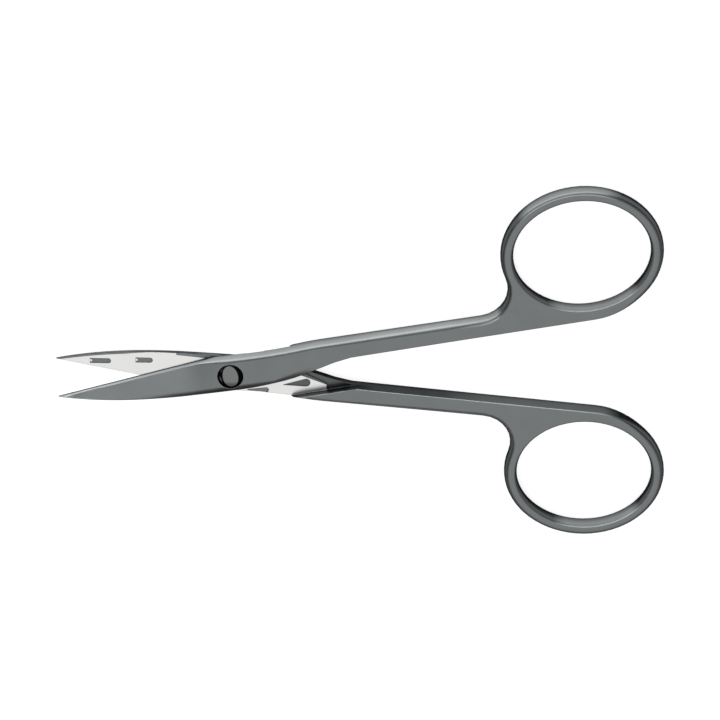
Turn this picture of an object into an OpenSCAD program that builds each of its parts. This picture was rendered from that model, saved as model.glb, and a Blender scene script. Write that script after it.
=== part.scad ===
// Iris scissors: two forged steel halves, one the other turned over, on one joint screw.
// The joint axis is Z, through the origin. The cutting plane between the halves is
// lap_z above the table, and the table is z = 0. The blades point along -X.

/* [Blade] */
// From the joint axis to the blade tip
blade_len = 32.4; // [28:0.1:38]
// Rise of the straight cutting edge for each millimetre from the tip
edge_slope = 0.125; // [0.1:0.005:0.14]
// Depth of the convex back below the axis
back_depth = 3.1; // [2.8:0.05:3.4]
// Place of the deepest point of the back, from the joint axis
back_x = 8; // [7:0.5:10]
// Thickness of the back at the tip
tip_t = 0.55; // [0.4:0.05:0.8]
// Thickness of the back in the middle of the blade
blade_t = 1.35; // [1:0.05:1.5]
// Length over which the back thickens behind the tip
tip_rise = 3.5; // [2:0.5:6]
// Width of the ground bevel along the cutting edge
bevel_w = 0.35; // [0.25:0.05:0.6]
// Thickness behind the bevel, as a share of the thickness of the back
bevel_share = 0.45; // [0.4:0.05:0.7]
// Length of the blunt point
point_l = 0.3; // [0.2:0.05:0.4]

/* [Joint] */
// Thickness of one half at the joint
joint_t = 1.85; // [1.7:0.05:2.2]
// Half width of the joint on its cutting side
waist_w = 3.5; // [3.4:0.05:3.8]
// Lateral roll of the outer edge at the joint
joint_roll = 1.0; // [0.7:0.05:1.2]
// Where the full thickness of the shank starts, on its outer side
nose_x = 11.6; // [10:0.1:12.5]
// Where the step wall runs out at the inner side of the shank
step_end_x = 23.5; // [23:0.1:26]
// Where the sloping shoulder runs out at the inner side of the shank
shoulder_x = 21.5; // [20:0.1:22]
// Rise of the shoulder for each millimetre
shoulder_slope = 0.267; // [0.24:0.005:0.28]
// End of the ground face that the other half slides on
ride_x = 18; // [17:0.1:19]
// Depth of the relief behind the ride
relief_t = 0.2; // [0.1:0.05:0.3]
// Depth of the recesses in the ground face
recess_t = 0.12; // [0.05:0.01:0.2]
// Depth of the unground strip along the back beside the joint
strip_t = 0.06; // [0.03:0.01:0.1]

/* [Shank] */
// Gap from the axis to the inner wall of the shank at the shoulder
inner_gap = 0.5; // [0.4:0.05:0.8]
// Width of the shank
shank_w = 3.6; // [3.3:0.05:4]
// Lateral roll of the outer edge in the middle of the shank
shank_roll = 1.2; // [0.9:0.05:1.4]
// Rounding of the back of blade and joint towards its outer face
back_roll = 0.4; // [0.2:0.05:0.5]
// Radius in the corner between shank and bow
corner_r = 5.7; // [4:0.1:7]
// Small radius on the edges of the flat walls
wall_r = 0.16; // [0.1:0.02:0.2]

/* [Bow] */
// From the joint axis to the centre of the finger hole
bow_reach = 69.05; // [64:0.05:74]
// Angle of that centre above the axis when the scissors are closed
bow_angle = 12.15; // [11.5:0.05:13]
// Length of the finger hole
hole_l = 25.2; // [23:0.1:27]
// Width of the finger hole
hole_w = 21.3; // [19:0.1:22]
// Turn of the finger hole towards the other half
hole_tilt = 2.8; // [0:0.1:6]
// Width of the band around the hole
band_w = 2.4; // [2.2:0.05:2.8]
// Thickness of the bow
bow_t = 3.5; // [3:0.05:3.6]
// Bulge of the band into the hole
inner_bulge = 0.6; // [0.4:0.02:0.7]
// Bulge of the band on its outer side
outer_bulge = 0.94; // [0.7:0.02:1.1]

/* [Screw] */
// Diameter of the screw head
head_d = 4.75; // [4.2:0.05:5]
// Height of the screw head
head_t = 0.95; // [0.8:0.05:1.1]
// Rise of the domed top of the head
dome_h = 0.34; // [0.2:0.02:0.4]
// Diameter of the bearing shoulder that the front half turns on
bearing_d = 3.0; // [2.8:0.05:3.4]
// Diameter of the threaded end
thread_d = 2.6; // [2.2:0.05:2.7]
// Radial running clearance around the screw
run_gap = 0.04; // [0.02:0.01:0.08]
// Width of the driver slot in the threaded end
slot_w = 0.6; // [0.4:0.05:0.8]
// Depth of the driver slot
slot_t = 0.5; // [0.4:0.05:0.7]

/* [Pose] */
// Half of the opening angle at which the scissors lie
half_open = 6.8; // [0:0.1:30]

/* [Hidden] */
lap_z = joint_t;
// Longer than any half, for the cuts that run off it
far = 60;
// Clearances that show the screw as a piece of its own
thread_gap = 0.01;
axial_gap = 0.03;
head_sink = 0.02;
// Stations along one half and points round its bow
blade_stations = 15;
joint_stations = 14;
shank_stations = 9;
wall_points = 7;
bow_points = 52;
corner_points = 8;
dome_points = 8;
// Angles up the side of the forging; none is zero, so no edge lies in the cutting plane
levels = [-90, -70, -50, -30, -10, 10, 30, 50, 70, 90];
level_count = len(levels);
// Curve of the joint's cutting side, and where it is narrowest
waist_curve = 0.0045;
waist_x = 5;
// Widening of the shank towards the bow
outer_slope = 0.015;
// Lengths over which two lines of the outline run into each other
back_blend = 1.6;
inner_blend = 0.5;
side_blend = 0.15;
// Thickness left at the cutting edge
edge_t = 0.07;
// Largest part of the blade's width that its bevel and its edge radius may take
bevel_part = 0.35;
radius_part = 0.2;
// Where the blade starts to thicken into the joint, and where it has done so
swell_from = -16;
swell_to = 2;
// Where the rounded back runs out into the sharp inner wall, and its height as a multiple of its width
roll_from = 6;
roll_to = 13;
roll_rise = 1.75;
// Slope and corner radius of the border of the ground ride
ride_slope = 0.388;
ride_r = 0.8;
// Ledge left between the relief and the step wall
relief_ledge = 0.06;
// Points of the finger hole, in degrees, that face the two sides of the shank
web_high_t = 246;
web_low_t = 252;
// Recesses in the ground face: x and y of the round end, length, width and turn
recesses = [[-22.75, -0.38, 3.35, 1.0, -4], [-15.05, -1.18, 2.65, 1.0, -4], [6.85, 3.0, 3.4, 1.0, -11]];
end_step = 15;
// The drop-shaped recess beside the step: x and y of its round end, radius, and x of its point
drop = [14.1, 0.85, 0.8, 9.8];
// Height of that point over the centre of the round end, as a multiple of its radius
drop_slant = 1.05;
// The unground strip along the back: where it starts, and how wide it is at its far end
strip_from = -10.3;
strip_to = 9;
strip_w = 0.75;

// Smooth minimum and maximum of two curves, blended where they come within k of each other
function smin(a, b, k) = min(a, b) - pow(max(k - abs(a - b), 0), 2) / (4 * k);
function smax(a, b, k) = -smin(-a, -b, k);
function mix(a, b, t) = a + (b - a) * t;
function ramp(x, x0, x1) = let (t = max(0, min(1, (x - x0) / (x1 - x0)))) t * t * (3 - 2 * t);
function unit(v) = v / norm(v);
function turn(p, a) = [p[0] * cos(a) - p[1] * sin(a), p[0] * sin(a) + p[1] * cos(a)];

// Bow: ellipses around the centre of the finger hole
bow_c = bow_reach * [cos(bow_angle), sin(bow_angle)];
hole_a = hole_l / 2;
hole_b = hole_w / 2;
out_a = hole_a + band_w;
out_b = hole_b + band_w;
function bow_at(t) = bow_c + turn([out_a * cos(t), out_b * sin(t)], -hole_tilt);
function bow_normal(t) = turn(unit([cos(t) / out_a, sin(t) / out_b]), -hole_tilt);

// Inner wall of the shank: a line from the shoulder that ends tangent to the bow
wall_p = [shoulder_x, inner_gap];
function tangent_off(t) = (wall_p - bow_at(t)) * bow_normal(t);
function find_tangent(lo, hi, n) =
    n == 0 ? (lo + hi) / 2
    : let (m = (lo + hi) / 2) tangent_off(m) > 0 ? find_tangent(m, hi, n - 1) : find_tangent(lo, m, n - 1);
wall_t = find_tangent(230, 320, 40);
wall_end = bow_at(wall_t);
wall_slope = (wall_end[1] - wall_p[1]) / (wall_end[0] - wall_p[0]);
function inner_y(x) = wall_p[1] + wall_slope * (x - wall_p[0]);
function outer_y(x) = inner_gap + shank_w + outer_slope * (x - shoulder_x);

// Corner arc between the outer side of the shank and the bow
function corner_off(t) = let (c = bow_at(t) + corner_r * bow_normal(t)) c[1] - outer_y(c[0]) - corner_r;
function find_corner(lo, hi, n) =
    n == 0 ? (lo + hi) / 2
    : let (m = (lo + hi) / 2) corner_off(m) > 0 ? find_corner(m, hi, n - 1) : find_corner(lo, m, n - 1);
corner_t = find_corner(175, 230, 40);
corner_c = bow_at(corner_t) + corner_r * bow_normal(corner_t);
corner_x = corner_c[0];
corner_from = atan2(bow_at(corner_t)[1] - corner_c[1], bow_at(corner_t)[0] - corner_c[0]);

// Plan of one half, closed: its back and inner side, then its cutting and outer side
back_r = (pow(blade_len - back_x, 2) + pow(back_depth, 2)) / (2 * back_depth);
function back_y(x) =
    x > -back_x ? -back_depth : back_r - back_depth - sqrt(max(0, pow(back_r, 2) - pow(x + back_x, 2)));
function shoulder_y(x) = inner_gap + shoulder_slope * (x - shoulder_x);
function joint_low_y(x) = smax(back_y(x), shoulder_y(x), back_blend);
function low_y(x) = x < nose_x ? joint_low_y(x) : smin(joint_low_y(x), inner_y(x), inner_blend);
function edge_y(x) = edge_slope * (x + blade_len);
function waist_y(x) = waist_w + waist_curve * pow(x - waist_x, 2);
function high_y(x) = smin(smin(edge_y(x), waist_y(x), side_blend), outer_y(x), side_blend);
function width_at(x) = high_y(x) - low_y(x);

// Half thickness along the length
function body_t(x) = mix(joint_t, bow_t / 2, ramp(x, shoulder_x, corner_x));
function thin_t(x) = mix(blade_t, tip_t, exp(-(x + blade_len) / tip_rise));
function back_t(x) = mix(thin_t(x), body_t(x), ramp(x, swell_from, swell_to));
function blade_share(x) = 1 - ramp(x, -back_x, 0);

// Side profiles at level k: distance in from the outline, and height
function round_side(bulge, t, k) = [bulge * (1 - cos(levels[k])), t * sin(levels[k])];
function wall_side(r, h, t, k) =
    let (a = abs(levels[k]), s = sign(levels[k]), b = (a - 30) * 1.5)
    a > 30 ? [r * (1 - cos(b)), s * (t - h + h * sin(b))] : [0, s * (t - h) * a / 30];
function bevel_side(w, t, k) =
    let (u = (abs(levels[k]) - 10) / 80)
    [w * u, sign(levels[k]) * mix(edge_t, t, u)];

function roll_at(x) = mix(joint_roll, shank_roll, ramp(x, nose_x, 40));
function roll_share(x) = 1 - ramp(x, roll_from, roll_to);
function low_side(x, k) =
    let (r = min(mix(wall_r, back_roll, roll_share(x)), radius_part * width_at(x)),
         h = min(mix(wall_r, roll_rise * back_roll, roll_share(x)), back_t(x) / 2))
    wall_side(r, h, back_t(x), k);
function high_side(x, k) =
    mix(round_side(roll_at(x), body_t(x), k),
        bevel_side(min(bevel_w, bevel_part * width_at(x)), bevel_share * back_t(x), k), blade_share(x));

function normal_of(f, x, s) = let (d = 0.02) unit(s * [-(f(x + d) - f(x - d)) / (2 * d), 1]);

blade_x = [for (i = [0:blade_stations - 1])
    mix(-blade_len + point_l, -back_x, pow(i / blade_stations, 1.15))];
joint_x = [for (i = [0:joint_stations - 1]) mix(-back_x, shoulder_x - 2, i / joint_stations)];
shank_x = [for (i = [0:shank_stations]) mix(shoulder_x - 2, corner_x, i / shank_stations)];
stations = concat(blade_x, joint_x, shank_x);
station_count = len(stations);

// A point of the skin: in from plan point p along its normal n, by the side profile s
function skin_point(p, n, s) = [p[0] - n[0] * s[0], p[1] - n[1] * s[0], s[1]];
function low_point(x, k) =
    skin_point([x, low_y(x)], normal_of(function (v) low_y(v), x, -1), low_side(x, k));
function high_point(x, k) =
    skin_point([x, high_y(x)], normal_of(function (v) high_y(v), x, 1), high_side(x, k));

// Outline of the bow from the inner wall round to the corner with the shank. Each entry has
// a plan point, its normal, how far the side is rolled, and how near it is to the shank.
wall_list = [for (i = [1:wall_points])
    let (x = mix(corner_x, wall_end[0], i / wall_points)) [[x, inner_y(x)], unit([wall_slope, -1]), 0, 0]];
bow_list = [for (i = [1:bow_points])
    let (t = mix(wall_t, corner_t + 360, i / bow_points))
    [bow_at(t), bow_normal(t), ramp(t, wall_t + 4, wall_t + 45), 0]];
corner_list = [for (i = [1:corner_points - 1])
    let (a = mix(corner_from, -90 + atan(outer_slope), i / corner_points), d = [cos(a), sin(a)])
    [corner_c + corner_r * d, -d, 1, i / corner_points]];
bow_outline = concat(wall_list, bow_list, corner_list);
function outline_point(q, k) =
    let (bulge = mix(outer_bulge, shank_roll, q[3]),
         s = mix(wall_side(wall_r, wall_r, bow_t / 2, k), round_side(bulge, bow_t / 2, k), q[2]))
    skin_point(q[0], q[1], s);

// Finger hole: one point for each outline point, from the low side of the shank round to its high side
hole_list = concat(
    [web_low_t],
    [for (i = [1:wall_points]) mix(web_low_t, wall_t, i / wall_points)],
    [for (i = [1:bow_points]) mix(wall_t, corner_t + 360, i / bow_points)],
    [for (i = [1:corner_points]) mix(corner_t, web_high_t, i / corner_points) + 360]);
function hole_point(t, k) =
    let (q = bow_c + turn([hole_a * cos(t), hole_b * sin(t)], -hole_tilt),
         n = turn(unit([cos(t) / hole_a, sin(t) / hole_b]), -hole_tilt))
    skin_point(q, -n, round_side(inner_bulge, bow_t / 2, k));

// The forging as one closed skin. Its rings run up the side, level by level.
bow_count = len(bow_outline);
side_count = 2 * station_count + bow_count + 1;
hole_count = len(hole_list);
tip_top = 0.8;
function tip_z(k) = tip_t * mix(0.1, tip_top, abs(levels[k]) / 90) * sign(levels[k]);
function side_ring(k) = concat(
    [[-blade_len, 0, tip_z(k)]],
    [for (x = stations) low_point(x, k)],
    [for (q = bow_outline) outline_point(q, k)],
    [for (i = [station_count - 1:-1:0]) high_point(stations[i], k)]);
function hole_ring(k) = [for (t = hole_list) hole_point(t, k)];
skin_points = concat(
    [for (k = [0:level_count - 1]) each side_ring(k)],
    [for (k = [0:level_count - 1]) each hole_ring(k)]);
hole_base = level_count * side_count;
function side_id(k, i) = k * side_count + (i % side_count);
function hole_id(k, i) = hole_base + k * hole_count + (i % hole_count);
function low_id(k, i) = side_id(k, 1 + i);
function high_id(k, i) = side_id(k, side_count - 1 - i);
function around_id(k, i) =
    let (j = i % hole_count)
    j == 0 ? low_id(k, station_count - 1)
    : j <= bow_count ? side_id(k, station_count + j)
    : high_id(k, station_count - 1);
function quad(a, b, c, d, flip) = flip ? [[a, c, b], [a, d, c]] : [[a, b, c], [a, c, d]];

module forging() {
    side_faces = [for (k = [0:level_count - 2]) for (i = [0:side_count - 1])
        each quad(side_id(k, i), side_id(k + 1, i), side_id(k + 1, i + 1), side_id(k, i + 1), false)];
    hole_faces = [for (k = [0:level_count - 2]) for (i = [0:hole_count - 1])
        each quad(hole_id(k, i), hole_id(k, i + 1), hole_id(k + 1, i + 1), hole_id(k + 1, i), false)];
    tip_faces = [for (k = [0, level_count - 1])
        k > 0 ? [side_id(k, 0), high_id(k, 0), low_id(k, 0)] : [side_id(k, 0), low_id(k, 0), high_id(k, 0)]];
    flat_faces = [for (k = [0, level_count - 1]) for (i = [0:station_count - 2])
        each quad(low_id(k, i), low_id(k, i + 1), high_id(k, i + 1), high_id(k, i), k > 0)];
    bow_faces = [for (k = [0, level_count - 1]) for (i = [0:hole_count - 1])
        each quad(around_id(k, i), around_id(k, i + 1), hole_id(k, i + 1), hole_id(k, i), k > 0)];
    polyhedron(skin_points, concat(side_faces, hole_faces, tip_faces, flat_faces, bow_faces));
}

// Step wall between the lap and the full shank: a line across the forging
step_a = [nose_x, high_y(nose_x)];
step_b = [step_end_x, inner_y(step_end_x)];
function step_y(x) = mix(step_a[1], step_b[1], (x - step_a[0]) / (step_b[0] - step_a[0]));
past_x = step_end_x + 4;
before_x = nose_x - 8;

// Everything on the far side of the cutting plane that the other half needs
module lap_cut() {
    translate([0, 0, -far])
        linear_extrude(far)
            polygon([[-far, -far], [past_x, -far], [past_x, step_y(past_x)], [before_x, step_y(before_x)],
                     [-far, step_y(before_x)]]);
}

// A cut of the given depth into the ground face, in the plan that its children give
module face_cut(depth) {
    translate([0, 0, -1])
        linear_extrude(1 + depth)
            children();
}

// Relief behind the ride: its border is a line across the shoulder, rounded into the end of the ride
ride_corner = [ride_x, inner_gap + 0.18];
ride_turn = atan(ride_slope);
function ride_y(x) = ride_corner[1] + ride_slope * (x - ride_x);
ride_start = nose_x - 4;
ride_c = ride_corner + ride_r * [-1, 1 / tan((90 + ride_turn) / 2)];
module relief_cut() {
    arc = [for (a = [ride_turn - 90:15:0]) ride_c + ride_r * [cos(a), sin(a)]];
    face_cut(relief_t)
        polygon(concat([[ride_start, ride_y(ride_start)]], arc,
            [[ride_x, step_y(ride_x) - relief_ledge], [past_x, step_y(past_x) - relief_ledge],
             [past_x, -far / 2], [ride_start, -far / 2]]));
}

// Unground strip along the back beside the joint, widening towards the shoulder
module strip_cut() {
    face_cut(strip_t)
        polygon([[strip_from, -back_depth], [strip_to, -back_depth + strip_w], [strip_to, -far / 2],
                 [strip_from, -far / 2]]);
}

// A shallow recess with a round end at p, running back by l
module recess(p, l, w, a) {
    end = [for (t = [-90:end_step:90]) w / 2 * [cos(t), sin(t)]];
    face_cut(recess_t)
        translate(p) rotate(a)
            polygon(concat([[-l, -w / 2]], end, [[-l, w / 2]]));
}

module recess_cuts() {
    for (r = recesses)
        recess([r[0], r[1]], r[2], r[3], r[4]);
    round_end = [for (t = [-90:end_step:90]) [drop[0], drop[1]] + drop[2] * [cos(t), sin(t)]];
    face_cut(recess_t)
        polygon(concat(round_end, [[drop[3], drop[1] + drop_slant * drop[2]]]));
}

// One half with its lap, and then with the cuts into its ground face
module lapped() {
    difference() {
        forging();
        lap_cut();
    }
}
module half() {
    difference() {
        lapped();
        relief_cut();
        strip_cut();
        recess_cuts();
    }
}

// The half that turns on the screw: a seat for the head, and a bearing hole
module front_half() {
    color([0.45, 0.47, 0.47])
        translate([0, 0, lap_z]) rotate(half_open) difference() {
            half();
            translate([0, 0, joint_t - head_t]) cylinder(d = head_d + 2 * run_gap, h = 2, $fn = 96);
            translate([0, 0, -1]) cylinder(d = bearing_d + 2 * run_gap, h = 4, $fn = 96);
        }
}

// The half that holds the screw in its thread
module rear_half() {
    color([0.38, 0.40, 0.40])
        translate([0, 0, lap_z]) rotate(-half_open) rotate([180, 0, 0]) difference() {
            half();
            translate([0, 0, -1]) cylinder(d = thread_d + 2 * thread_gap, h = 4, $fn = 96);
        }
}

// Screw: threaded end in the rear half, bearing shoulder, and a shallow domed head
module joint_screw() {
    head_z = joint_t - head_t + axial_gap;
    head_r = head_d / 2;
    dome_r = (pow(head_r, 2) + pow(dome_h, 2)) / (2 * dome_h);
    dome = [for (i = [0:dome_points]) let (x = head_r * (1 - i / dome_points))
        [x, joint_t - head_sink - dome_r + sqrt(pow(dome_r, 2) - x * x)]];
    color([0.2, 0.2, 0.21])
        translate([0, 0, lap_z]) difference() {
            rotate_extrude($fn = 96)
                polygon(concat([[0, -joint_t], [thread_d / 2, -joint_t], [thread_d / 2, 0],
                    [bearing_d / 2, 0], [bearing_d / 2, head_z], [head_r, head_z]], dome));
            translate([-thread_d, -slot_w / 2, -joint_t - 1]) cube([2 * thread_d, slot_w, 1 + slot_t]);
        }
}

rear_half();
front_half();
joint_screw();
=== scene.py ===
# %% [markdown]
# # Iris scissors in satin steel
# A small pair of surgical scissors lies on a white table: two forged halves and one
# flush screw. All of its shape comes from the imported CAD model. This script gives that
# model its surfaces: satin steel with ground faces, and a polished screw. Then it sets
# the table, the studio light and the camera of the photograph.

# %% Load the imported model
import bpy
import math
from types import SimpleNamespace
from mathutils import Matrix, Vector

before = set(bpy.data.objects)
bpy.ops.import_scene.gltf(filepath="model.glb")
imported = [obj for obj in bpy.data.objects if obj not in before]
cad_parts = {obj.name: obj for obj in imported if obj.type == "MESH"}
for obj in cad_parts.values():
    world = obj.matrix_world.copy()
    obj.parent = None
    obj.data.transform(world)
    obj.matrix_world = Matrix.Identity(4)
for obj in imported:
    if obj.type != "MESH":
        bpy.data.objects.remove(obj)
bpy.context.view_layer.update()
halves = [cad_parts["front_half"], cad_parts["rear_half"]]
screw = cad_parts["joint_screw"]

# %% [markdown]
# ## Sizes
# Blender works in metres here, and steel detail is measured in hundredths of a
# millimetre, so one name turns millimetres into metres. The two halves slide on each
# other in one plane, which is the only height that the finishes need to know.

# %% Millimetres and the plane between the halves
MM = 0.001
JOINT_Z = 1.85 * MM
print("the halves meet at", JOINT_Z, "m above the table")

# %% [markdown]
# ## Smooth shading without touching the mesh
# The CAD model arrives as flat triangles, each with its own corners. Real forged steel
# has soft rolled sides and crisp ground borders. One geometry-nodes modifier joins the
# corners, shades everything smooth, and keeps an edge sharp where the surface turns by
# more than a set angle. A weighted-normal modifier then keeps the big flat faces flat.

# %% A modifier that joins corners and keeps crisp borders
JOIN_WITHIN = 0.002 * MM
SHARP_DEGREES = 32
FLAT_FACE_WEIGHT = 60


def make_soft_shading():
    tree = bpy.data.node_groups.new("soft shading", "GeometryNodeTree")
    tree.interface.new_socket("Geometry", in_out="INPUT", socket_type="NodeSocketGeometry")
    tree.interface.new_socket("Geometry", in_out="OUTPUT", socket_type="NodeSocketGeometry")
    nodes, links = tree.nodes, tree.links
    given = nodes.new("NodeGroupInput")
    result = nodes.new("NodeGroupOutput")
    plain = nodes.new("GeometryNodeRemoveAttribute")
    plain.inputs["Name"].default_value = "custom_normal"
    joined = nodes.new("GeometryNodeMergeByDistance")
    joined.inputs["Distance"].default_value = JOIN_WITHIN
    faces = nodes.new("GeometryNodeSetShadeSmooth")
    faces.domain = "FACE"
    edges = nodes.new("GeometryNodeSetShadeSmooth")
    edges.domain = "EDGE"
    edges.inputs["Shade Smooth"].default_value = False
    angle = nodes.new("GeometryNodeInputMeshEdgeAngle")
    sharp = nodes.new("FunctionNodeCompare")
    sharp.inputs["B"].default_value = math.radians(SHARP_DEGREES)
    links.new(given.outputs[0], plain.inputs["Geometry"])
    links.new(plain.outputs[0], joined.inputs["Geometry"])
    links.new(joined.outputs[0], faces.inputs["Geometry"])
    links.new(faces.outputs[0], edges.inputs["Geometry"])
    links.new(angle.outputs["Unsigned Angle"], sharp.inputs["A"])
    links.new(sharp.outputs[0], edges.inputs["Selection"])
    links.new(edges.outputs[0], result.inputs[0])
    return tree


soft_shading = make_soft_shading()
for piece in halves + [screw]:
    piece.modifiers.new("soft shading", "NODES").node_group = soft_shading
    weighted = piece.modifiers.new("flat faces", "WEIGHTED_NORMAL")
    weighted.keep_sharp = True
    weighted.weight = FLAT_FACE_WEIGHT
print("soft shading on", len(halves) + 1, "nodes")

# %% [markdown]
# ## Small helpers for shader nodes
# Node trees grow long when each node takes four lines. These helpers place a node with
# its values, do sums with sockets and plain numbers alike, and open a group with named
# sockets.

# %% Helpers: place a node, do sums, and open a shader group
def place(tree, kind, links=None, values=None, **settings):
    """One node with its settings, socket values and incoming links."""
    node = tree.nodes.new(kind)
    for name, value in settings.items():
        setattr(node, name, value)
    for name, value in (values or {}).items():
        node.inputs[name].default_value = value
    for name, source in (links or {}).items():
        tree.links.new(source, node.inputs[name])
    return node


def math_node(tree, operation, a, b=None, c=None, clamped=False):
    """A math node whose inputs are sockets or plain numbers."""
    node = place(tree, "ShaderNodeMath", operation=operation, use_clamp=clamped)
    for socket, value in zip(node.inputs, (a, b, c)):
        if value is None:
            continue
        if isinstance(value, (int, float)):
            socket.default_value = value
        else:
            tree.links.new(value, socket)
    return node.outputs[0]


def times(tree, *values):
    """The product of several sockets."""
    product = values[0]
    for value in values[1:]:
        product = math_node(tree, "MULTIPLY", product, value)
    return product


def ramp(tree, value, first, last, at_first=0.0, at_last=1.0):
    """A value mapped from one span to another and held at its ends. Either span may fall."""
    return place(tree, "ShaderNodeMapRange", {"Value": value},
                 {"From Min": first, "From Max": last, "To Min": at_first, "To Max": at_last}).outputs[0]


def open_group(name, inputs, outputs):
    """A shader node group with named sockets: (name, kind, default) for each input."""
    tree = bpy.data.node_groups.new(name, "ShaderNodeTree")
    for label, kind, default in inputs:
        socket = tree.interface.new_socket(label, in_out="INPUT", socket_type="NodeSocket" + kind)
        socket.default_value = default
    for label, kind in outputs:
        tree.interface.new_socket(label, in_out="OUTPUT", socket_type="NodeSocket" + kind)
    return tree, tree.nodes.new("NodeGroupInput"), tree.nodes.new("NodeGroupOutput")


# %% [markdown]
# ## Effect 1: fine grain
# Satin steel is blasted with fine glass and then brushed lightly along its length. Two
# noises make that: a round one for the blasted skin, and one stretched along X for the
# brushing. A third, much coarser noise gives faint clouds. Both steels use the effect,
# each with its own amounts, so it is a group.

# %% Shader group: grain of blasted and brushed steel
SKIN_SCALE = 9000
BRUSHING_SCALE = 7000
BRUSHING_STRETCH = (0.04, 1, 1)
CLOUD_SCALE = 220


def make_grain():
    tree, given, result = open_group(
        "steel grain",
        [("Blasting", "Float", 0.5), ("Brushing", "Float", 0.5)],
        [("Height", "Float"), ("Mottle", "Float")])
    where = place(tree, "ShaderNodeTexCoord").outputs["Object"]
    skin = place(tree, "ShaderNodeTexNoise", {"Vector": where},
                 {"Scale": SKIN_SCALE, "Detail": 3, "Roughness": 0.6})
    stretched = place(tree, "ShaderNodeMapping", {"Vector": where}, {"Scale": BRUSHING_STRETCH})
    lines = place(tree, "ShaderNodeTexNoise", {"Vector": stretched.outputs[0]},
                  {"Scale": BRUSHING_SCALE, "Detail": 2, "Roughness": 0.5})
    clouds = place(tree, "ShaderNodeTexNoise", {"Vector": where},
                   {"Scale": CLOUD_SCALE, "Detail": 4, "Roughness": 0.55})
    blasted = math_node(tree, "MULTIPLY", skin.outputs["Fac"], given.outputs["Blasting"])
    height = math_node(tree, "MULTIPLY_ADD", lines.outputs["Fac"], given.outputs["Brushing"], blasted)
    tree.links.new(height, result.inputs["Height"])
    tree.links.new(clouds.outputs["Fac"], result.inputs["Mottle"])
    return tree


grain_group = make_grain()
print("group:", grain_group.name)

# %% [markdown]
# ## Effect 2: worn edges with a painted highlight
# Handling and sterilising polish the outer edges, and the colour there is brightened too,
# as a painted highlight. Cycles can round the normal of a surface over a small radius,
# and where the rounded normal leans away from the true one there is an edge. The group
# gives that mask, and the rounded normal too.

# %% Shader group: worn edges with a painted highlight
def make_worn_and_highlit_edges():
    tree, given, result = open_group(
        "worn and highlit edges",
        [("Radius", "Float", 0.1 * MM), ("Strength", "Float", 4.0)],
        [("Mask", "Float"), ("Normal", "Vector")])
    rounded = place(tree, "ShaderNodeBevel", {"Radius": given.outputs["Radius"]}, samples=6)
    true_normal = place(tree, "ShaderNodeNewGeometry").outputs["Normal"]
    along = place(tree, "ShaderNodeVectorMath",
                  {0: rounded.outputs[0], 1: true_normal}, operation="DOT_PRODUCT")
    lean = math_node(tree, "SUBTRACT", 1.0, along.outputs["Value"])
    mask = math_node(tree, "MULTIPLY", lean, given.outputs["Strength"], clamped=True)
    tree.links.new(mask, result.inputs["Mask"])
    tree.links.new(rounded.outputs[0], result.inputs["Normal"])
    return tree


worn_and_highlit_edges_group = make_worn_and_highlit_edges()
print("group:", worn_and_highlit_edges_group.name)

# %% [markdown]
# ## Effect 3: painted shade in seams and corners
# The seam round the screw, the foot of the step and the sides close to the table are
# painted darker than a clean face, as painted shade where little light gets in. The
# share of nearby space that a point sees gives that mask.

# %% Shader group: painted shade in seams and corners
def make_painted_seam_shade():
    tree, given, result = open_group(
        "painted shade in seams and corners",
        [("Reach", "Float", 1.0 * MM), ("From", "Float", 0.45), ("To", "Float", 0.95)],
        [("Mask", "Float")])
    # Painted shade: the less nearby space a point sees, the darker its colour.
    space = place(tree, "ShaderNodeAmbientOcclusion", {"Distance": given.outputs["Reach"]}, samples=8)
    mask = place(tree, "ShaderNodeMapRange",
                 {"Value": space.outputs["AO"], "From Min": given.outputs["From"],
                  "From Max": given.outputs["To"]},
                 {"To Min": 1.0, "To Max": 0.0})
    tree.links.new(mask.outputs[0], result.inputs["Mask"])
    return tree


painted_seam_shade_group = make_painted_seam_shade()
print("group:", painted_seam_shade_group.name)

# %% [markdown]
# ## Material 1: satin steel with ground faces
# The halves are satin outside. Where they slide on each other, in the plane between
# them, they are ground bright. Both halves are the same forging, one turned over, so
# their finish is written once, in the forging's own frame: x along it from the joint to
# the bow, y towards the cutting edge, z up from the ground face, all in millimetres. A
# mapping node brings each half into that frame.

# %% The forging's own frame in each half
HALF_OPEN = math.radians(6.8)
HALF_FRAMES = {"front": (0.0, 0.0, HALF_OPEN), "rear": (math.pi, 0.0, -HALF_OPEN)}
NO_SHIFT = (0.0, 0.0, 0.0)
print("each half is turned by", round(math.degrees(HALF_OPEN), 1), "degrees")


def own_frame(tree, vector, turned, origin, scale):
    """A point or a normal as the forging sees it: x, y and z sockets."""
    mapped = place(tree, "ShaderNodeMapping", {"Vector": vector},
                   {"Location": origin, "Rotation": turned, "Scale": (scale, scale, scale)},
                   vector_type="TEXTURE")
    split = place(tree, "ShaderNodeSeparateXYZ", {0: mapped.outputs[0]})
    return [split.outputs[axis] for axis in "XYZ"]


# %% [markdown]
# Several finishes follow the back or the cutting edge, so the distance to each is worked
# out once. The back is a straight line, an arc that falls away towards the point, and
# the slant of the shoulder, whichever lies furthest in. The cutting edge is straight.

# %% Distance to the back and to the cutting edge
BACK_Y = -3.1
BACK_ARC_X = -8.0
BACK_ARC = 1 / 195.2
SHOULDER_Y = -5.24
SHOULDER_SLOPE = 0.267
EDGE_Y = 4.05
EDGE_SLOPE = 0.125
print("the cutting edge passes the joint at y =", EDGE_Y, "mm, and the back at", BACK_Y, "mm")


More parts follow.
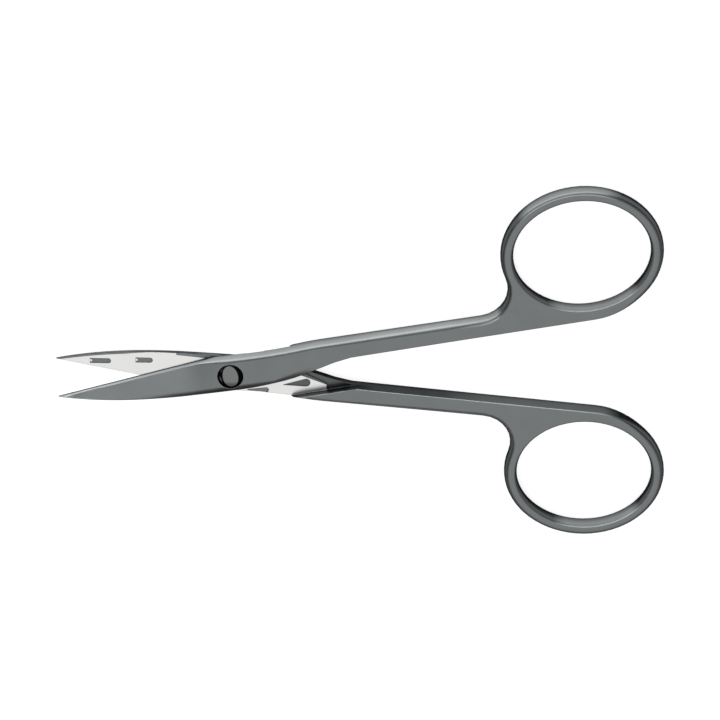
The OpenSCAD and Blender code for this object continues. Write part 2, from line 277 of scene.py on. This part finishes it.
def distances(tree, x, y):
    past = math_node(tree, "MINIMUM", math_node(tree, "SUBTRACT", x, BACK_ARC_X), 0.0)
    arc = math_node(tree, "MULTIPLY_ADD", math_node(tree, "MULTIPLY", past, past), BACK_ARC, BACK_Y)
    shoulder = math_node(tree, "MULTIPLY_ADD", x, SHOULDER_SLOPE, SHOULDER_Y)
    from_back = math_node(tree, "SUBTRACT", y, math_node(tree, "MAXIMUM", arc, shoulder))
    edge = math_node(tree, "MULTIPLY_ADD", x, EDGE_SLOPE, EDGE_Y)
    return from_back, math_node(tree, "SUBTRACT", edge, y)


# %% [markdown]
# Every mask below is a product of spans. A span is 0 at its first number and 1 at its
# last, and holds beyond both, so (24, 27) rises along x and (27, 24) falls. All masks
# read the same few facts about a point of the surface, so those are gathered once for
# each half. Upright is how far the normal points up or down: 1 on a flat face, 0 on a
# wall.

# %% What the masks know about a point of the surface
STEEP_UPRIGHT = (0.65, 0.15)


def surface_facts(tree, turned):
    where = place(tree, "ShaderNodeTexCoord")
    at = SimpleNamespace(normal=where.outputs["Normal"])
    at.x, at.y, at.z = own_frame(tree, where.outputs["Object"], turned, (0.0, 0.0, JOINT_Z), MM)
    _, at.ny, at.nz = own_frame(tree, at.normal, turned, NO_SHIFT, 1.0)
    at.upright = math_node(tree, "ABSOLUTE", at.nz)
    at.steep = ramp(tree, at.upright, *STEEP_UPRIGHT)
    at.height = math_node(tree, "ABSOLUTE", at.z)
    at.from_back, at.from_edge = distances(tree, at.x, at.y)
    return at


# %% [markdown]
# The ground faces are found by height: only a face that lies in the plane z = 0 and
# looks along it is ground, so the relief behind the ride and the recesses stay satin.
# Two narrow strips along the back stay satin too: one behind the point, where the back
# is bevelled, and one from the middle of the blade to the joint.

# %% Where the halves are ground
GROUND_HEIGHT = (0.03, 0.01)
GROUND_FACING = (-0.9, -0.98)
GROUND_END = 18.1
STRIP_FROM = -10.3
STRIP_WIDTH = 0.40
STRIP_WIDENS = 0.035
POINT_STRIP = 0.30
POINT_STRIP_FADES = (-15.0, -20.0)
BORDER = 0.05
STRIP_BORDER = (-0.02, 0.02)
print("ground from the point to x =", GROUND_END, "mm")


def ground_mask(tree, at):
    in_plane = ramp(tree, at.height, *GROUND_HEIGHT)
    level = ramp(tree, at.nz, *GROUND_FACING)
    started = ramp(tree, at.x, STRIP_FROM - BORDER, STRIP_FROM + BORDER)
    past_start = math_node(tree, "SUBTRACT", at.x, STRIP_FROM)
    strip = times(tree, started, math_node(tree, "MULTIPLY_ADD", past_start, STRIP_WIDENS, STRIP_WIDTH))
    point_strip = ramp(tree, at.x, *POINT_STRIP_FADES, 0.0, POINT_STRIP)
    beyond = math_node(tree, "SUBTRACT", at.from_back, math_node(tree, "MAXIMUM", strip, point_strip))
    clear_of_strips = ramp(tree, beyond, *STRIP_BORDER)
    before_end = ramp(tree, at.x, GROUND_END + BORDER, GROUND_END)
    return times(tree, in_plane, level, clear_of_strips, before_end)


# %% [markdown]
# Each recess in the blade ends, towards the point, in a small bright notch where the
# grinding ran into it. Each notch is a disc in the forging's own frame.

# %% Bright notches at the ends of the recesses
NOTCHES = [(-25.95, -0.155), (-17.55, -1.0)]
NOTCH_EDGE = (0.27, 0.21)
NOTCH_HEIGHT = (0.2, 0.15)
print("notches at", NOTCHES)


def notch_mask(tree, at):
    discs = []
    for centre_x, centre_y in NOTCHES:
        across = math_node(tree, "SUBTRACT", at.x, centre_x)
        up = math_node(tree, "SUBTRACT", at.y, centre_y)
        squared = math_node(tree, "MULTIPLY_ADD", across, across, math_node(tree, "MULTIPLY", up, up))
        discs.append(ramp(tree, math_node(tree, "SQRT", squared), *NOTCH_EDGE))
    return times(tree, math_node(tree, "MAXIMUM", *discs), ramp(tree, at.height, *NOTCH_HEIGHT))


# %% [markdown]
# The back of the joint and of the blade is rolled over softly towards its outer face. A
# height that falls off towards the back, fed to a bump node, turns the light the way
# that roll does, and the roll is painted a little darker too, as painted shade. Both
# fade out before the point and before the shank.

# %% The rolled back: its height and its shade
ROLL_WIDTH = 1.3
ROLL_SLOPE = 1.1
ROLL_FROM = (-20.0, -10.0)
ROLL_TO = (16.0, 9.0)
ROLL_FACING = (0.0, 0.3)
ROLL_SHADE = 0.45
print("the back falls by", round(ROLL_SLOPE * ROLL_WIDTH / 2, 2), "mm over", ROLL_WIDTH, "mm")


def factor(tree, mask, strength):
    """A factor on the colour: 1 where the mask is 0, and the strength where it is 1."""
    return ramp(tree, mask, 0.0, 1.0, 1.0, strength)


def rolled_back(tree, at):
    """How far a point is down the roll, and where the roll is at all."""
    down = ramp(tree, at.from_back, ROLL_WIDTH, 0.0)
    there = times(tree, ramp(tree, at.x, *ROLL_FROM), ramp(tree, at.x, *ROLL_TO),
                  ramp(tree, at.nz, *ROLL_FACING))
    return down, there


def roll_height(tree, at):
    down, there = rolled_back(tree, at)
    return math_node(tree, "MULTIPLY", times(tree, down, down, there), -ROLL_SLOPE * ROLL_WIDTH / 2)


# Painted shade on the rolled back.
def roll_painted_shade_factor(tree, at):
    return factor(tree, times(tree, *rolled_back(tree, at)), ROLL_SHADE)


# %% [markdown]
# ## How light and dark the sides are
# The sides of the forging are painted darker than its faces, as painted shade. The
# sides that face the window, which is the soft box beyond the top of the picture, are
# the exception: they are painted brighter than the faces, as painted light, and a
# little less so at their foot. The walls of the bows are painted darker further up than
# those of the shanks, so they look crisper, and the walls towards the window have a
# painted highlight along a rim below the face.

# %% Factor: painted light and shade on sides towards and away from the window
SIDE_SHADE = 0.30
LIT_FROM = (-0.2, 0.98, 0.0)
LIT_WITHIN = (0.80, 0.90)
LEVEL_ONLY = (1, 1, 0)
LIT_SIDE = 1.35
LIT_SIDE_UPRIGHT = (0.72, 0.62)
LIT_FOOT = 1.15
LIT_FOOT_UPRIGHT = (0.25, 0.0)
BOW_FROM = (42.0, 50.0)
BOW_WALL_UPRIGHT = (0.88, 0.74)
BOW_SIDE_SHADE = 0.42
BOW_LIT_SIDE = 0.80
BOW_RIM_FROM = (0.84, 0.90)
BOW_RIM_TO = (0.995, 0.975)
BOW_RIM_PAINTED_HIGHLIGHT = 2.5


def towards_window(tree, at):
    """1 where the level part of the normal points at the window."""
    level = place(tree, "ShaderNodeVectorMath", {0: at.normal}, {1: LEVEL_ONLY}, operation="MULTIPLY")
    direction = place(tree, "ShaderNodeVectorMath", {0: level.outputs[0]}, operation="NORMALIZE")
    along = place(tree, "ShaderNodeVectorMath", {0: direction.outputs[0]}, {1: LIT_FROM},
                  operation="DOT_PRODUCT")
    return ramp(tree, along.outputs["Value"], *LIT_WITHIN)


def painted_side_light_factor(tree, at):
    on_bow = ramp(tree, at.x, *BOW_FROM)
    bow_wall = times(tree, on_bow, ramp(tree, at.upright, *BOW_WALL_UPRIGHT))
    bow_painted_rim = times(tree, on_bow, ramp(tree, at.upright, *BOW_RIM_FROM), ramp(tree, at.upright, *BOW_RIM_TO))
    # Painted shade on sides away from the window.
    painted_side_shade = math_node(tree, "MINIMUM", factor(tree, at.steep, SIDE_SHADE),
                      factor(tree, bow_wall, BOW_SIDE_SHADE))
    # Painted light on sides towards the window, with a painted highlight on the bow rim.
    painted_side_light = times(tree,
                   ramp(tree, at.upright, *LIT_SIDE_UPRIGHT, 1.0, LIT_SIDE),
                   ramp(tree, at.upright, *LIT_FOOT_UPRIGHT, 1.0, LIT_FOOT / LIT_SIDE),
                   factor(tree, bow_wall, BOW_LIT_SIDE),
                   factor(tree, bow_painted_rim, BOW_RIM_PAINTED_HIGHLIGHT))
    return place(tree, "ShaderNodeMix",
                 {"Factor": towards_window(tree, at), 2: painted_side_shade, 3: painted_side_light}).outputs[0]


# %% [markdown]
# Behind the step the relief, its walls and the foot of the shank form a pocket between
# the halves, which is painted darker as painted shade. Its low wall faces the other
# handle; it is painted a little lighter, and its lip, where it meets the shank's face,
# has a painted highlight.

# %% Factor: painted shade in the pocket behind the step
POCKET_FLOOR = (-0.3, -0.15)
POCKET_FROM = (9.5, 11.0)
POCKET_TO = (27.0, 24.0)
POCKET_HEIGHT = (0.35, 0.25)
POCKET_SIDE = (3.6, 3.3)
POCKET_SHADE = 0.6
TO_OTHER_HANDLE = (-0.4, -0.8)
LOW_WALL_TO = (21.5, 20.0)
LOW_WALL_PAINTED_LIGHT = 1.5
LIP_HEIGHT = (-1.40, -1.60)
LIP_PAINTED_HIGHLIGHT = 3.0


def pocket_masks(tree, at):
    """The pocket, and the part of it along its low wall."""
    wall_or_floor = math_node(tree, "MAXIMUM", at.steep, ramp(tree, at.z, *POCKET_FLOOR))
    pocket = times(tree, wall_or_floor, ramp(tree, at.x, *POCKET_FROM), ramp(tree, at.x, *POCKET_TO),
                   ramp(tree, at.z, *POCKET_HEIGHT), ramp(tree, at.y, *POCKET_SIDE))
    return pocket, times(tree, pocket, ramp(tree, at.x, *LOW_WALL_TO))


def painted_pocket_shade_factor(tree, at, pocket, low_wall):
    wall = times(tree, at.steep, ramp(tree, at.ny, *TO_OTHER_HANDLE))
    # A painted highlight on the lip, and painted light on the low wall.
    lip_highlight = times(tree, pocket, wall, ramp(tree, at.z, *LIP_HEIGHT))
    return times(tree, factor(tree, pocket, POCKET_SHADE),
                 factor(tree, times(tree, low_wall, wall), LOW_WALL_PAINTED_LIGHT),
                 factor(tree, lip_highlight, LIP_PAINTED_HIGHLIGHT))


# %% [markdown]
# Along the shanks and bows, the side that faces the other handle is painted darker, as
# painted shade. A painted highlight runs along it as a bright rim, where the wall rolls
# over into the face. The far walls inside a bow's hole are left out of both.

# %% Factor: painted shade and highlight on the sides that face the other handle
INNER_FROM = (9.0, 12.0)
OUTSIDE_HOLE = (15.0, 13.0)
INNER_UPRIGHT = (0.55, 0.35)
INNER_SHADE = 0.42
INNER_BOW_SHADE = 0.88
INNER_BOW_FROM = (40.0, 50.0)
RIM_FACING = (-0.2, -0.4)
RIM_FROM = (12.0, 16.0)
RIM_TO = (76.0, 66.0)
RIM_UPRIGHT_FROM = (0.40, 0.55)
RIM_UPRIGHT_TO = (0.985, 0.95)
RIM_PAINTED_HIGHLIGHT = 2.0


def painted_inner_shade_factor(tree, at, low_wall):
    outside_hole = ramp(tree, at.y, *OUTSIDE_HOLE)
    wall = times(tree, ramp(tree, low_wall, 1.0, 0.0), ramp(tree, at.x, *INNER_FROM), outside_hole,
                 ramp(tree, at.ny, *TO_OTHER_HANDLE), ramp(tree, at.upright, *INNER_UPRIGHT))
    # Painted shade on the side that faces the other handle.
    shade = ramp(tree, at.x, *INNER_BOW_FROM, INNER_SHADE / LIT_FOOT, INNER_BOW_SHADE / LIT_FOOT)
    shaded = place(tree, "ShaderNodeMix", {"Factor": wall, 3: shade}, {2: 1.0}).outputs[0]
    # A painted highlight along the rim.
    painted_rim = times(tree, ramp(tree, at.x, *RIM_FROM), ramp(tree, at.x, *RIM_TO), outside_hole,
                ramp(tree, at.ny, *RIM_FACING), ramp(tree, at.upright, *RIM_UPRIGHT_FROM),
                ramp(tree, at.upright, *RIM_UPRIGHT_TO))
    return times(tree, shaded, factor(tree, painted_rim, RIM_PAINTED_HIGHLIGHT))


# %% [markdown]
# The outer face of the blade is a little brighter than the shank, and the bevel along
# its cutting edge a little less so. The foot of each side in front of the joint, just
# above the ground face, is a dark line of painted shade.

# %% Factor: the blade, its bevel and its foot
BLADE_FROM = (-5.5, -9.0)
OUTWARD = (0.1, 0.3)
BLADE_LIFT = 1.18
BEVEL_FACING = (0.85, 0.75)
BEVEL_CLEAR_OF_BACK = (0.4, 0.6)
BEVEL_LIFT = 1.05
FOOT_HEIGHT = (0.30, 0.18)
FOOT_FACING = (-0.5, 0.0)
FOOT_FROM = (1.0, -1.0)
FOOT_SHADE = 0.22


def blade_factor(tree, at):
    blade = times(tree, ramp(tree, at.x, *BLADE_FROM), ramp(tree, at.nz, *OUTWARD))
    bevel = times(tree, blade, ramp(tree, at.nz, *BEVEL_FACING),
                  ramp(tree, at.from_back, *BEVEL_CLEAR_OF_BACK))
    # The foot's dark line is painted shade.
    painted_foot_shade = times(tree, ramp(tree, at.z, *FOOT_HEIGHT), ramp(tree, at.nz, *FOOT_FACING),
                 ramp(tree, at.x, *FOOT_FROM))
    return times(tree, factor(tree, blade, BLADE_LIFT), factor(tree, bevel, BEVEL_LIFT / BLADE_LIFT),
                 factor(tree, painted_foot_shade, FOOT_SHADE))


# %% [markdown]
# The real outer face stays level up to the point, while the model's slopes down to it,
# so near the point the shading normal is laid level again. The bevel keeps its own.

# %% Normal: a level face near the point
POINT_FROM = (-20.0, -26.0)
POINT_CLEAR_OF_EDGE = (0.34, 0.40)
POINT_FACING = (0.4, 0.6)


def level_near_point(tree, at, normal, face_up):
    """The given normal, turned straight up or down on the outer face near the point."""
    near_point = times(tree, ramp(tree, at.x, *POINT_FROM), ramp(tree, at.from_edge, *POINT_CLEAR_OF_EDGE),
                       ramp(tree, at.nz, *POINT_FACING))
    return place(tree, "ShaderNodeMix", {"Factor": near_point, 4: normal},
                 {5: (0.0, 0.0, face_up)}, data_type="VECTOR").outputs[1]


# %% [markdown]
# ## The satin steel itself
# One function makes the steel of a half. It mixes worn edges, brightened also as a
# painted highlight, into the satin colour, multiplies that by all the factors (painted
# light and shade, the brighter blade and cloudy tone), lays the ground faces over it,
# and adds two bumps: the rolled back and the grain.

# %% Material: satin steel
SATIN = (0.212, 0.224, 0.227, 1)
# Colour of worn edges, brighter than the satin as a painted highlight too.
WORN_AND_HIGHLIT = (0.52, 0.54, 0.545, 1)
GROUND = (0.92, 0.92, 0.91, 1)
SIDE_TINT = (0.2, 0.2, 0.2, 1)
SATIN_GRAIN = {"Blasting": 0.6, "Brushing": 0.4}
WEAR_AND_HIGHLIGHT = {"Radius": 0.13 * MM, "Strength": 5.0}
# Reach and strength of the painted shade in seams and corners.
PAINTED_SHADE_REACH = {"Reach": 1.6 * MM}
SEAM_PAINTED_SHADE = 0.25
CLOUDS = (0.25, 0.75)
CLOUD_FACTOR = (0.93, 1.07)
SATIN_ROUGHNESS = (0.26, 0.38)
SATIN_BUMP = {"Strength": 0.12, "Distance": 0.01 * MM}


def start_steel(name):
    """A bare metal material: the part that both steels share."""
    material = bpy.data.materials.new(name)
    material.use_nodes = True
    shader = material.node_tree.nodes["Principled BSDF"]
    shader.inputs["Metallic"].default_value = 1.0
    shader.inputs["Specular Tint"].default_value = SIDE_TINT
    return material, material.node_tree, shader


def make_satin_steel(name, turned):
    """The steel of one half, from how the half is turned out of the forging's own frame."""
    material, tree, shader = start_steel(name)
    at = surface_facts(tree, turned)
    grain = place(tree, "ShaderNodeGroup", values=SATIN_GRAIN, node_tree=grain_group)
    wear_and_highlight = place(tree, "ShaderNodeGroup", values=WEAR_AND_HIGHLIGHT, node_tree=worn_and_highlit_edges_group)
    painted_seam_shade = place(tree, "ShaderNodeGroup", values=PAINTED_SHADE_REACH, node_tree=painted_seam_shade_group)

    pocket, low_wall = pocket_masks(tree, at)
    # Painted light and shade, with the blade's brightness and cloudy tone, as one factor on the colour.
    painted_light_and_shade = times(tree,
                  painted_side_light_factor(tree, at),
                  painted_inner_shade_factor(tree, at, low_wall),
                  painted_pocket_shade_factor(tree, at, pocket, low_wall),
                  blade_factor(tree, at),
                  roll_painted_shade_factor(tree, at),
                  factor(tree, painted_seam_shade.outputs["Mask"], SEAM_PAINTED_SHADE),
                  ramp(tree, grain.outputs["Mottle"], *CLOUDS, *CLOUD_FACTOR))
    # Edges: real wear and a painted highlight.
    worn_and_highlit = place(tree, "ShaderNodeMix", {"Factor": wear_and_highlight.outputs["Mask"]}, {6: SATIN, 7: WORN_AND_HIGHLIT},
                 data_type="RGBA")
    shaded = place(tree, "ShaderNodeVectorMath", {0: worn_and_highlit.outputs[2], "Scale": painted_light_and_shade}, operation="SCALE")
    bright_face = math_node(tree, "MAXIMUM", ground_mask(tree, at), notch_mask(tree, at))
    colour = place(tree, "ShaderNodeMix", {"Factor": bright_face, 6: shaded.outputs[0]},
                   {7: GROUND}, data_type="RGBA")
    tree.links.new(colour.outputs[2], shader.inputs["Base Color"])
    tree.links.new(ramp(tree, grain.outputs["Mottle"], 0.0, 1.0, *SATIN_ROUGHNESS),
                   shader.inputs["Roughness"])

    face_up = round(math.cos(turned[0]))
    level = level_near_point(tree, at, wear_and_highlight.outputs["Normal"], face_up)
    rolled = place(tree, "ShaderNodeBump", {"Height": roll_height(tree, at), "Normal": level},
                   {"Strength": 1.0, "Distance": MM})
    bump = place(tree, "ShaderNodeBump", {"Height": grain.outputs["Height"], "Normal": rolled.outputs[0]},
                 SATIN_BUMP)
    tree.links.new(bump.outputs[0], shader.inputs["Normal"])
    return material


satin_steel = {name: make_satin_steel("satin steel " + name, turned) for name, turned in HALF_FRAMES.items()}
print("materials:", [material.name for material in satin_steel.values()])

# %% [markdown]
# ## Material 2: polished steel for the screw
# The screw is turned and polished, so it mirrors the room far more sharply than the
# halves do. Its colour also carries a painted reflection: a grey oval in its flat middle
# for the light above, and a nearly black rim, with a few thin painted glints in it.

# %% Material: polished steel with a painted reflection
# Painted reflection: a grey oval for the light above, a dark rim, and painted glints.
PAINTED_REFLECTION_OVAL = (1.38, 2.08)
PAINTED_REFLECTION_OVAL_CENTRE = (0.02, -0.08)
PAINTED_REFLECTION_OVAL_TURN = math.radians(8.5)
PAINTED_REFLECTION_OVAL_EDGE = (1.06, 0.98)
RIM_PAINTED_DARK_REFLECTION = (0.003, 0.003, 0.0032, 1)
MIDDLE_PAINTED_REFLECTION = (0.205, 0.212, 0.212, 1)
PAINTED_GLINT = (0.13, 0.135, 0.135, 1)
PAINTED_GLINT_FROM = (1.75, 1.9)
PAINTED_GLINT_TO = (2.1, 1.95)
PAINTED_GLINT_STREAK_SCALE = 900
PAINTED_GLINT_STREAKS = (0.5, 0.7)
SCREW_GRAIN = {"Blasting": 0.2, "Brushing": 0.1}
SCREW_ROUGHNESS = (0.12, 0.22)
SCREW_BUMP = {"Strength": 0.05, "Distance": 0.005 * MM}


def distance_from_axis(tree, vector):
    """How far a point lies from the Z axis, whatever its height."""
    flat = place(tree, "ShaderNodeVectorMath", {0: vector}, {1: LEVEL_ONLY}, operation="MULTIPLY")
    return place(tree, "ShaderNodeVectorMath", {0: flat.outputs[0]}, operation="LENGTH").outputs["Value"]


def make_polished_steel_with_painted_reflection():
    material, tree, shader = start_steel("polished steel with painted reflection")
    grain = place(tree, "ShaderNodeGroup", values=SCREW_GRAIN, node_tree=grain_group)
    tree.links.new(ramp(tree, grain.outputs["Mottle"], 0.0, 1.0, *SCREW_ROUGHNESS),
                   shader.inputs["Roughness"])
    where = place(tree, "ShaderNodeTexCoord").outputs["Object"]
    painted_oval = place(tree, "ShaderNodeMapping", {"Vector": where},
                 {"Location": (PAINTED_REFLECTION_OVAL_CENTRE[0] * MM, PAINTED_REFLECTION_OVAL_CENTRE[1] * MM, 0),
                  "Rotation": (0, 0, PAINTED_REFLECTION_OVAL_TURN),
                  "Scale": (PAINTED_REFLECTION_OVAL[0] * MM, PAINTED_REFLECTION_OVAL[1] * MM, 1.0)}, vector_type="TEXTURE")
    # The grey oval is a painted reflection of the light above.
    painted_reflection_middle = ramp(tree, distance_from_axis(tree, painted_oval.outputs[0]), *PAINTED_REFLECTION_OVAL_EDGE)
    radius = math_node(tree, "DIVIDE", distance_from_axis(tree, where), MM)
    painted_glint_streaks = place(tree, "ShaderNodeTexNoise", {"Vector": where}, {"Scale": PAINTED_GLINT_STREAK_SCALE, "Detail": 1})
    # Thin painted glints in the dark painted rim.
    painted_glint = times(tree, ramp(tree, radius, *PAINTED_GLINT_FROM), ramp(tree, radius, *PAINTED_GLINT_TO),
                  ramp(tree, painted_glint_streaks.outputs["Fac"], *PAINTED_GLINT_STREAKS))
    painted_rim = place(tree, "ShaderNodeMix", {"Factor": painted_glint}, {6: RIM_PAINTED_DARK_REFLECTION, 7: PAINTED_GLINT}, data_type="RGBA")
    colour = place(tree, "ShaderNodeMix", {"Factor": painted_reflection_middle, 6: painted_rim.outputs[2]}, {7: MIDDLE_PAINTED_REFLECTION},
                   data_type="RGBA")
    tree.links.new(colour.outputs[2], shader.inputs["Base Color"])
    bump = place(tree, "ShaderNodeBump", {"Height": grain.outputs["Height"]}, SCREW_BUMP)
    tree.links.new(bump.outputs[0], shader.inputs["Normal"])
    return material


polished_steel_with_painted_reflection = make_polished_steel_with_painted_reflection()
print("material:", polished_steel_with_painted_reflection.name)

# %% Put the materials on the nodes
def give(piece, material):
    piece.data.materials.clear()
    piece.data.materials.append(material)


give(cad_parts["front_half"], satin_steel["front"])
give(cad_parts["rear_half"], satin_steel["rear"])
give(screw, polished_steel_with_painted_reflection)
print("materials on", len(halves) + 1, "nodes")

# %% [markdown]
# ## The table
# The scissors lie on a plain white table, which goes on well past the picture. Its
# white comes from a plain colour and from a little light of its own that the camera and
# the mirrors in the steel see, so the table can be white without brighter lamps, and it
# keeps the shadow of the scissors.

# %% Table
TABLE_SIZE = 4.0
TABLE_WHITE = (0.8, 0.8, 0.8, 1)
TABLE_ROUGHNESS = 0.9
TABLE_GLOW = 0.75


def make_table():
    bpy.ops.mesh.primitive_plane_add(size=TABLE_SIZE, location=(0, 0, 0))
    table = bpy.context.object
    table.name = "table"
    material = bpy.data.materials.new("white table")
    material.use_nodes = True
    tree = material.node_tree
    shader = tree.nodes["Principled BSDF"]
    shader.inputs["Base Color"].default_value = TABLE_WHITE
    shader.inputs["Roughness"].default_value = TABLE_ROUGHNESS
    shader.inputs["Specular IOR Level"].default_value = 0.0
    shader.inputs["Emission Color"].default_value = (1, 1, 1, 1)
    path = place(tree, "ShaderNodeLightPath").outputs
    seen = math_node(tree, "MAXIMUM", path["Is Camera Ray"], path["Is Glossy Ray"])
    seen = math_node(tree, "MAXIMUM", seen, path["Is Transmission Ray"])
    glow = math_node(tree, "MULTIPLY", seen, TABLE_GLOW)
    tree.links.new(glow, shader.inputs["Emission Strength"])
    table.data.materials.append(material)
    return table


table = make_table()
print("table:", table.dimensions[:2])

# %% [markdown]
# ## Studio light
# Steel shows what stands around it. In the photograph the sides that look up the
# picture are bright, those that look to the left and right are dark, and the flat faces
# are an even middle grey. A wide soft box beyond the top of the picture stands for the
# window. A dimmer one above and a dim room, lighter overhead, light the faces.

# %% Lamps and the room
AIM = Vector((0.015, 0, 0))
ROOM_RISES = (0.2, 0.8)
ROOM_STRENGTH = (0.25, 0.40)


def soft_box(name, spot, width, height, radiance):
    """An area lamp that faces the scissors. Its power follows from how bright it looks."""
    data = bpy.data.lights.new(name, "AREA")
    data.shape = "RECTANGLE"
    data.size = width
    data.size_y = height
    data.energy = radiance * math.pi * width * height
    lamp = bpy.data.objects.new(name, data)
    bpy.context.scene.collection.objects.link(lamp)
    lamp.location = spot
    lamp.rotation_euler = (AIM - Vector(spot)).to_track_quat("-Z", "Y").to_euler()
    print(name, "energy", round(data.energy, 3), "W")


def make_room():
    """A plain white world that is dim along the horizon and brighter overhead."""
    room = bpy.data.worlds.new("room")
    room.use_nodes = True
    tree = room.node_tree
    background = tree.nodes["Background"]
    background.inputs["Color"].default_value = (1, 1, 1, 1)
    up = place(tree, "ShaderNodeTexCoord").outputs["Generated"]
    sky = place(tree, "ShaderNodeSeparateXYZ", {0: up})
    strength = place(tree, "ShaderNodeMapRange", {"Value": sky.outputs["Z"]},
                     {"From Min": ROOM_RISES[0], "From Max": ROOM_RISES[1],
                      "To Min": ROOM_STRENGTH[0], "To Max": ROOM_STRENGTH[1]},
                     interpolation_type="SMOOTHSTEP")
    tree.links.new(strength.outputs[0], background.inputs["Strength"])
    return room


soft_box("box beyond the top", spot=(-0.17, 0.60, 0.19), width=1.3, height=0.40, radiance=1.9)
soft_box("box above", spot=(0.0, -0.24, 0.80), width=0.8, height=0.9, radiance=0.50)
bpy.context.scene.world = make_room()
print("world:", bpy.context.scene.world.name)

# %% [markdown]
# ## Camera
# The photograph was taken from above, leaning 26 degrees towards the side of the front
# half's bow. The lean, the twist, the distance and the focal length were fitted to the
# picture. So was the point where the middle of the picture meets the plane between the
# halves, which is given in the camera's own right and up directions.

# %% Camera of the photograph
LEAN = math.radians(25.85)
TWIST = math.radians(1.72)
DISTANCE = 798.1
CENTRE = (23.9928, 2.3032)
FOCAL_PIXELS = 4305.7
IMAGE_PIXELS = 720
SENSOR = 36.0
NEAREST = 0.01


def add_camera():
    """The camera of the photograph, made the scene's own."""
    right = Vector((math.cos(TWIST), -math.sin(TWIST), 0))
    ahead = Vector((math.sin(TWIST), math.cos(TWIST), 0))
    up = ahead * math.cos(LEAN) - Vector((0, 0, math.sin(LEAN)))
    back = ahead * math.sin(LEAN) + Vector((0, 0, math.cos(LEAN)))
    data = bpy.data.cameras.new("camera")
    data.sensor_width = SENSOR
    data.lens = SENSOR * FOCAL_PIXELS / IMAGE_PIXELS
    data.clip_start = NEAREST
    camera = bpy.data.objects.new("camera", data)
    bpy.context.scene.collection.objects.link(camera)
    spot = (CENTRE[0] * right + CENTRE[1] * up + DISTANCE * back) * MM + Vector((0, 0, JOINT_Z))
    turn = Matrix((right, up, back)).transposed().to_4x4()
    camera.matrix_world = Matrix.Translation(spot) @ turn
    bpy.context.scene.camera = camera
    print("camera at", [round(v, 4) for v in spot], "lens", round(data.lens, 2))


add_camera()
bpy.context.scene.view_settings.view_transform = "Standard"
